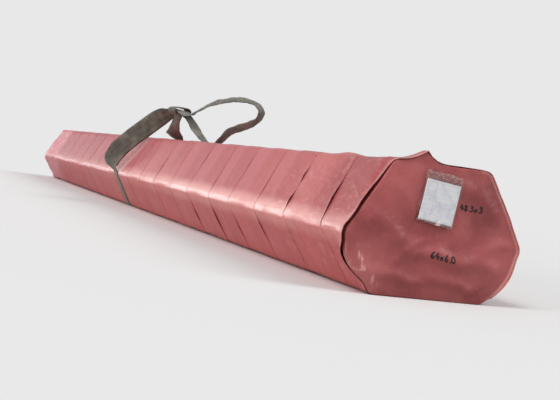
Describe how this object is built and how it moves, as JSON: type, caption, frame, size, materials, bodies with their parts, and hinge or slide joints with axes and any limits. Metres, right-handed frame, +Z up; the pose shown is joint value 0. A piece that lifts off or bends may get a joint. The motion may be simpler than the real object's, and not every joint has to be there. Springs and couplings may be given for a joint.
{
  "type": "bundle of steel pipes",
  "caption": "Six-sided bundle of round steel pipes, banded, wound in woven plastic with cloth-covered ends, with an end label and a choked web lifting sling.",
  "frame": {"origin": "on the floor, under the middle of the bundle", "axes": "+X along the pipes towards the labelled end, +Z up"},
  "size_m": [6.0304, 0.5552, 0.5807],
  "materials": {
    "pipe_steel": "mill finish, oiled",
    "band_steel": "blued band steel",
    "end_cloth": "coated woven plastic, satin",
    "woven_wrap": "coated woven plastic strip, satin to glossy",
    "label_paper": "matt white card",
    "clear_film": "clear plastic pocket",
    "sling_webbing": "worn grey polyester webbing"
  },
  "bodies": {
    "root": {"pipes": "pipe_steel", "steel_bands": "band_steel", "near_end_cloth": "end_cloth", "far_end_cloth": "end_cloth", "spiral_wrap": "woven_wrap", "label_card": "label_paper", "label_pocket": "clear_film", "lifting_sling": "sling_webbing"}
  },
  "joints": []
}
